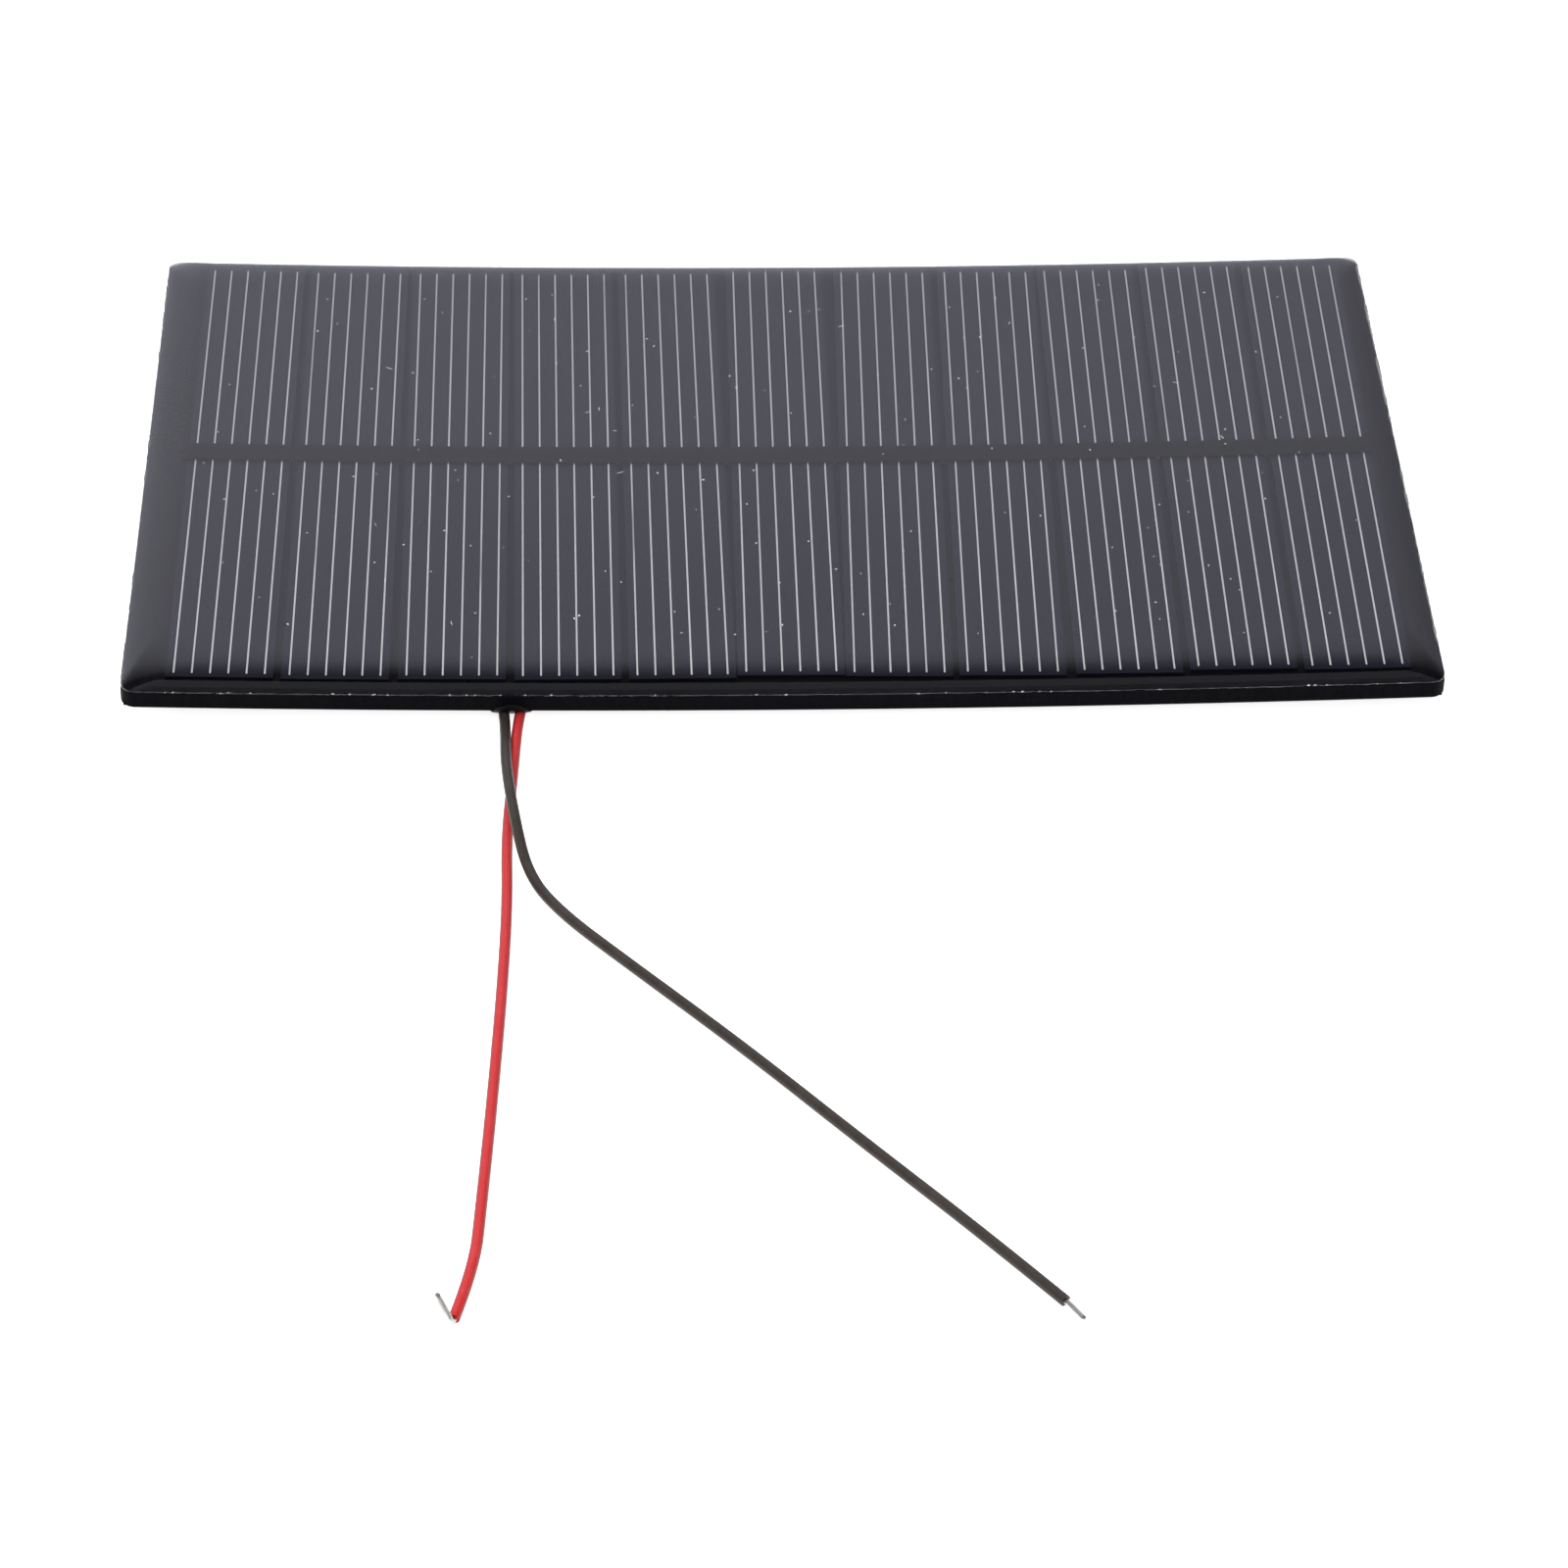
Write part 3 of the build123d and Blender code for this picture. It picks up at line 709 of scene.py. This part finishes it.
def make_potting():
    """The clear resin: a bowed top, a soft rim and a ragged foot."""
    columns = round(2 * HALF_LENGTH / RIM_STEP)
    rows = SIDE_ROWS
    vertices = []
    rings = []
    for level, (inset, height) in enumerate(RIM):
        sides = rounded_ring(inset * MM, columns, rows)
        ring = []
        for x, y in [point for side in sides for point in side]:
            inward = Vector((-x / HALF_LENGTH, -y / HALF_DEPTH, 0)).normalized()
            low = max(0.0, 1 - level / RAGGED_RINGS)
            wander = RIM_WANDER * ragged(x, y, 60, 3.0)
            if level == 0:
                wander += FOOT_WANDER * ragged(x, y, 900, 5.0)
            out = low * RIM_WANDER * ragged(x, y, 700, 9.0)
            z = BOARD_THICKNESS + height * MM + low * wander
            if level == 0:
                z = max(z, BOARD_THICKNESS - FOOT_DROP)
            vertices.append(bowed(x - inward.x * out, y - inward.y * out, z))
            ring.append(len(vertices) - 1)
        rings.append(ring)
    faces = []
    for low, high in zip(rings, rings[1:]):
        for step in range(len(low)):
            after = (step + 1) % len(low)
            faces.append((low[step], low[after], high[after], high[step]))
    fill_inside(faces, rings[-1], columns, rows)
    underside = len(faces)
    fill_inside(faces, rings[0], columns, rows)
    piece = new_piece("potting_resin", vertices, faces, "resin")
    # The underside is shaded apart, so that it doesn't bend the shading of the rim
    for polygon in list(piece.data.polygons)[underside:]:
        polygon.use_smooth = False
    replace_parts(piece, "clear_potting")


def fill_inside(faces, ring, columns, rows):
    """Close a ring with strips across the panel that follow the bow."""
    width = columns + 1 + 2 * CORNER_STEPS
    front = ring[:width]
    right = ring[width:width + rows - 1]
    back = list(reversed(ring[width + rows - 1:2 * width + rows - 1]))
    left = list(reversed(ring[2 * width + rows - 1:]))
    lines = []
    for column in range(width):
        if column == 0:
            lines.append([front[0], *left, back[0]])
        elif column == width - 1:
            lines.append([front[-1], *right, back[-1]])
        else:
            lines.append([front[column], back[column]])
    for near, far in zip(lines, lines[1:]):
        faces.append((*near, *reversed(far)))


# ---------------------------------------------------------------- glue


def make_dab():
    """The lump of glue under the edge of the board."""
    shaper = bmesh.new()
    bmesh.ops.create_icosphere(shaper, subdivisions=5, radius=1.0)
    for vertex in shaper.verts:
        lump = 1 + 0.09 * noise.noise(vertex.co * 1.7) + 0.03 * noise.noise(vertex.co * 5)
        place = Vector(a * b for a, b in zip(vertex.co, DAB_RADII)) * lump
        vertex.co = DAB_CENTRE + place
        vertex.co.z = max(vertex.co.z, DAB_CLEAR)
        below = max(0.0, STAND_OFF + DAB_UNDERCUT_RISE - vertex.co.z)
        proud = -HALF_DEPTH - DAB_PROUD + DAB_UNDERCUT * below
        if vertex.co.y < proud:
            vertex.co.y = proud + DAB_SOFTNESS * (vertex.co.y - proud)
    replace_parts(mesh_piece("glue_dab", shaper, "glue"), "lead_glue_dab")


# ---------------------------------------------------------------- specks


SPECKS = random.Random(11)
SPECK_SIDES = 6
EDGE_SPECKS = 90
DUST_SPECKS = 110
BUBBLES = 50
EDGE_CLEAR = 2 * MM  # how far in from the panel's edges each kind stays
DUST_CLEAR = 6 * MM
BUBBLE_CLEAR = 3 * MM
NEAR_SHARE = 0.7  # of the torn flash, on the edge that the leads leave by
FIBRE_SHARE = 0.15  # of the dust


def speck_piece(name, specks, material):
    """Small flat lumps, each at a place, with a turn and a length, width and height, as one piece."""
    vertices = []
    faces = []
    for place, turn, (length, width, height) in specks:
        first = len(vertices)
        top, bottom = first + SPECK_SIDES, first + SPECK_SIDES + 1
        spin = Matrix.Rotation(turn, 3, "Z")
        for corner in range(SPECK_SIDES):
            angle = corner / SPECK_SIDES * math.tau
            reach = SPECKS.uniform(0.7, 1.0)
            edge = Vector((math.cos(angle) * length / 2 * reach, math.sin(angle) * width / 2 * reach, 0))
            vertices.append(place + spin @ edge)
        vertices.append(place + Vector((0, 0, height / 2)))
        vertices.append(place - Vector((0, 0, height / 2)))
        for corner in range(SPECK_SIDES):
            after = (corner + 1) % SPECK_SIDES
            faces.append((first + corner, first + after, top))
            faces.append((first + after, first + corner, bottom))
    new_piece(name, vertices, faces, "resin", smooth=False, material=material)


def torn_flash():
    """Specks along the foot of the resin, in clusters."""
    specks = []
    for _ in range(EDGE_SPECKS):
        x = SPECKS.uniform(-1, 1) * (HALF_LENGTH - EDGE_CLEAR)
        if noise.noise(Vector((x * 90, 0, 4))) < SPECKS.uniform(-0.5, 0.25):
            continue
        side = -1 if SPECKS.random() < NEAR_SHARE else 1
        height = BOARD_THICKNESS + SPECKS.uniform(0.03, 0.12) * MM
        place = bowed(x, side * (HALF_DEPTH - 0.03 * MM), height)
        size = (SPECKS.uniform(0.12, 0.4) * MM, 0.09 * MM, SPECKS.uniform(0.08, 0.16) * MM)
        specks.append((place, SPECKS.uniform(-0.2, 0.2), size))
    return specks


def dust():
    """Grains and a few fibres on top of the resin."""
    specks = []
    for _ in range(DUST_SPECKS):
        x = SPECKS.uniform(-1, 1) * (HALF_LENGTH - DUST_CLEAR)
        y = SPECKS.uniform(-1, 1) * (HALF_DEPTH - DUST_CLEAR)
        if SPECKS.random() < FIBRE_SHARE:
            size = (SPECKS.uniform(0.4, 1.0), 0.08, 0.03)
        else:
            size = (SPECKS.uniform(0.15, 0.32), 0.16, 0.04)
        place = bowed(x, y, BOARD_THICKNESS + RESIN_THICKNESS + 0.005 * MM)
        specks.append((place, SPECKS.uniform(0, math.pi), tuple(value * MM for value in size)))
    return specks


def bubbles():
    """Bubbles in the upper half of the resin."""
    specks = []
    for _ in range(BUBBLES):
        x = SPECKS.uniform(-1, 1) * (HALF_LENGTH - BUBBLE_CLEAR)
        y = SPECKS.uniform(-1, 1) * (HALF_DEPTH - BUBBLE_CLEAR)
        across = SPECKS.uniform(0.08, 0.18) * MM
        place = bowed(x, y, BOARD_THICKNESS + RESIN_THICKNESS * SPECKS.uniform(0.55, 0.8))
        specks.append((place, 0.0, (across, across, across)))
    return specks


def make_specks():
    """Torn flash, dust and bubbles; each kind draws its places, then its outlines."""
    pale = flecks()
    speck_piece("resin_flash_specks", torn_flash(), pale)
    speck_piece("surface_dust", dust(), pale)
    speck_piece("trapped_bubbles", bubbles(), pale)


# ---------------------------------------------------------------- stage


FLOOR_REACH = 3.0
FLOOR_GLOW = 0.8  # the table is lit from below, which washes the shadow out


def make_floor():
    mesh = bpy.data.meshes.new("floor")
    corners = [(x * FLOOR_REACH, y * FLOOR_REACH, 0) for x, y in ((-1, -1), (1, -1), (1, 1), (-1, 1))]
    mesh.from_pydata(corners, [], [(0, 1, 2, 3)])
    floor = bpy.data.objects.new("floor", mesh)
    scene.collection.objects.link(floor)
    shader = Shader("floor")
    shader.put("Base Color", (0.9, 0.9, 0.9, 1))
    shader.put("Roughness", 0.9)
    shader.put("Specular IOR Level", 0.1)
    shader.put("Emission Color", (1, 1, 1, 1))
    shader.put("Emission Strength", FLOOR_GLOW)
    mesh.materials.append(shader.material)


def area_light(name, place, size, power):
    """A soft square light that faces the panel and isn't mirrored in it."""
    data = bpy.data.lights.new(name, "AREA")
    data.shape = "SQUARE"
    data.size = size
    data.energy = power
    light = bpy.data.objects.new(name, data)
    light.location = place
    light.rotation_euler = Vector(place).to_track_quat("Z", "Y").to_euler()
    light.visible_glossy = False
    light.visible_camera = False
    scene.collection.objects.link(light)


# The room's brightness over the panel, from the horizon behind it, by degrees, to the one in front
SKY_ARCH = (
    (0, 0.8),
    (30, 1.0),
    (38, 1.0),
    (46, 0.75),
    (54, 0.42),
    (62, 0.2),
    (70, 0.04),
    (91, 0.02),
    (94, 0.4),
    (112, 0.36),
    (124, 0.2),
    (136, 0.06),
    (150, 0.04),
    (164, 0.12),
    (180, 0.3),
)
# The same from the left to the right
SKY_ACROSS = (
    (0.1, 0.52),
    (0.31, 0.66),
    (0.43, 0.68),
    (0.5, 0.555),
    (0.6, 0.49),
    (0.67, 0.42),
    (0.78, 0.29),
    (0.9, 0.12),
)
SKY_TINT = (0.91, 0.905, 1.02)
SKY_STRENGTH = 2.8


def make_world():
    """A bright backdrop low behind the panel, and a dark room above and in front."""
    world = bpy.data.worlds.new("studio")
    world.use_nodes = True
    sky = Nodes(world.node_tree)
    split = sky.add("SeparateXYZ")
    sky.join(sky.add("TexCoord").outputs["Generated"], split.inputs[0])
    # From 0 at the horizon behind the panel, over the top, to 1 at the horizon on the camera's side
    turn = sky.combine(split.outputs["Z"], split.outputs["Y"], "ARCTAN2")
    over = sky.combine(turn, math.pi, "DIVIDE")
    arch = sky.ramp(over, *((degrees / 180, grey(level)) for degrees, level in SKY_ARCH))
    # From 0 at the left to 1 at the right
    sideways = sky.range(split.outputs["X"], 0.0, 1.0, -1.0, 1.0)
    across = sky.ramp(sideways, *((position, grey(level)) for position, level in SKY_ACROSS))
    light = sky.mix(1.0, sky.mix(1.0, arch, across, "MULTIPLY"), SKY_TINT, "MULTIPLY")
    background = sky.tree.nodes["Background"]
    sky.join(light, background.inputs["Color"])
    background.inputs["Strength"].default_value = SKY_STRENGTH
    scene.world = world


# ---------------------------------------------------------------- the whole scene


make_camera()
make_leads()
paint_frame()
make_potting()
make_dab()
make_specks()
make_floor()
make_world()
area_light("overhead", (-0.25, 0.15, 0.9), 0.9, 11.0)
area_light("front_fill", (0.3, -0.7, 0.6), 0.8, 3.0)
